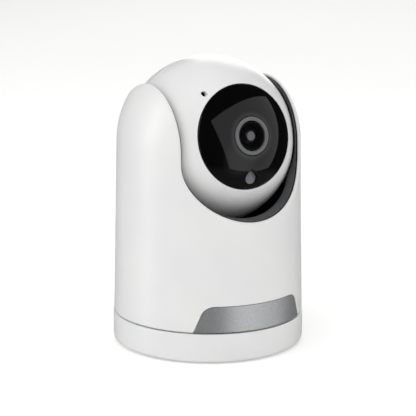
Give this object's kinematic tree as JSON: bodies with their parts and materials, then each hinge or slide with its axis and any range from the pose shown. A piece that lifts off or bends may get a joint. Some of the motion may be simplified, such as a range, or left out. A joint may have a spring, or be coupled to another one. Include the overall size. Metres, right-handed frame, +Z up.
{
  "type": "security camera",
  "caption": "Free-standing indoor security camera: a round base, a turning body with two ears and a ball head that tilts between them, with lens, drives and boards inside.",
  "frame": {"origin": "centre of the round base's foot print, on the surface it stands on", "axes": "+Z up along the pan axis; the lens looks towards -Y; the tilt axis is along X"},
  "size_m": [0.0786, 0.0786, 0.118],
  "materials": {
    "white_plastic": "fine satin white moulding",
    "grey_plastic": "fine matt grey moulding",
    "black_plastic": "matt black moulding",
    "gloss_black": "polished infrared-passing black",
    "ring_grey": "satin grey",
    "silver_paint": "fine metallic silver paint on plastic",
    "steel": "plain plated steel",
    "brass": "machined brass",
    "nylon": "natural nylon",
    "circuit_green": "solder mask on glass fibre board",
    "rubber": "matt moulded rubber",
    "glass": "coated optical glass",
    "led_epoxy": "clear epoxy with a dark die"
  },
  "bodies": {
    "base": {"base_cup": "white_plastic", "rubber_foot_ring": "rubber", "fixed_pan_gear": "nylon", "pan_thrust_washer": "nylon", "hub_retainer": "steel", "power_board": "circuit_green", "power_socket": "steel", "power_regulator": "black_plastic", "retainer_screw_1": "steel", "retainer_screw_2": "steel", "retainer_screw_3": "steel"},
    "turning_body": {"body_shell": "white_plastic", "front_trim_panel": "silver_paint", "scoop_liner": "grey_plastic", "head_cup": "black_plastic", "turntable": "black_plastic", "pan_motor": "steel", "main_board": "circuit_green", "main_processor": "black_plastic", "wifi_module": "steel", "memory_card_socket": "steel", "reset_switch": "black_plastic", "speaker": "black_plastic", "wifi_antenna": "brass", "tilt_pin_left": "steel", "tilt_pin_right": "steel", "fixed_tilt_gear": "nylon", "turntable_screw_1": "steel", "turntable_screw_2": "steel", "turntable_screw_3": "steel"},
    "tilting_head": {"head_front_shell": "white_plastic", "head_rear_shell": "white_plastic", "front_window": "gloss_black", "lens_ring": "ring_grey", "lens_hood": "black_plastic", "lens_barrel": "black_plastic", "front_lens": "glass", "rear_lens": "glass", "lens_holder": "black_plastic", "sensor_board": "circuit_green", "image_sensor": "glass", "head_bracket": "black_plastic", "infrared_board": "circuit_green", "light_sensor_guide": "ring_grey", "microphone": "steel", "tilt_motor": "steel", "tilt_bearing_left": "brass", "tilt_bearing_right": "brass", "head_screw_left": "steel", "head_screw_right": "steel", "infrared_led_1": "led_epoxy", "infrared_led_2": "led_epoxy", "infrared_led_3": "led_epoxy", "infrared_led_4": "led_epoxy", "infrared_led_5": "led_epoxy", "infrared_led_6": "led_epoxy"},
    "pan_drive_pinion": {"pan_pinion": "brass"},
    "tilt_drive_pinion": {"tilt_pinion": "brass"},
    "filter_slider": {"infrared_filter_slider": "glass"},
    "reset_key": {"reset_button": "grey_plastic"}
  },
  "joints": [
    {"name": "pan", "type": "hinge", "parent": "base", "child": "turning_body", "pos_m": [0, 0, 0.0136], "axis": [0, 0, 1], "range_deg": [-177.5, 177.5]},
    {"name": "tilt", "type": "hinge", "parent": "turning_body", "child": "tilting_head", "pos_m": [0, 0, 0.0835], "axis": [1, 0, 0], "range_deg": [-60, 35]},
    {"name": "pan_pinion_spin", "type": "hinge", "parent": "turning_body", "child": "pan_drive_pinion", "pos_m": [-0.0185, 0, 0.0078], "axis": [0, 0, 1], "range_deg": [-715, 715]},
    {"name": "tilt_pinion_spin", "type": "hinge", "parent": "tilting_head", "child": "tilt_drive_pinion", "pos_m": [0.0229, 0.01086, 0.08119], "axis": [1, 0, 0], "range_deg": [-130, 80]},
    {"name": "infrared_filter_slide", "type": "slide", "parent": "tilting_head", "child": "filter_slider", "axis": [1, 0, 0], "range_m": [0, 0.0052]},
    {"name": "reset_press", "type": "slide", "parent": "turning_body", "child": "reset_key", "axis": [0, -1, 0], "range_m": [0, 0.0008], "stiffness_N_per_m": 600, "springref_m": -0.0004}
  ],
  "couplings": [
    {"joint": "pan_pinion_spin", "follows": "pan", "ratio": 4},
    {"joint": "tilt_pinion_spin", "follows": "tilt", "ratio": 2}
  ]
}
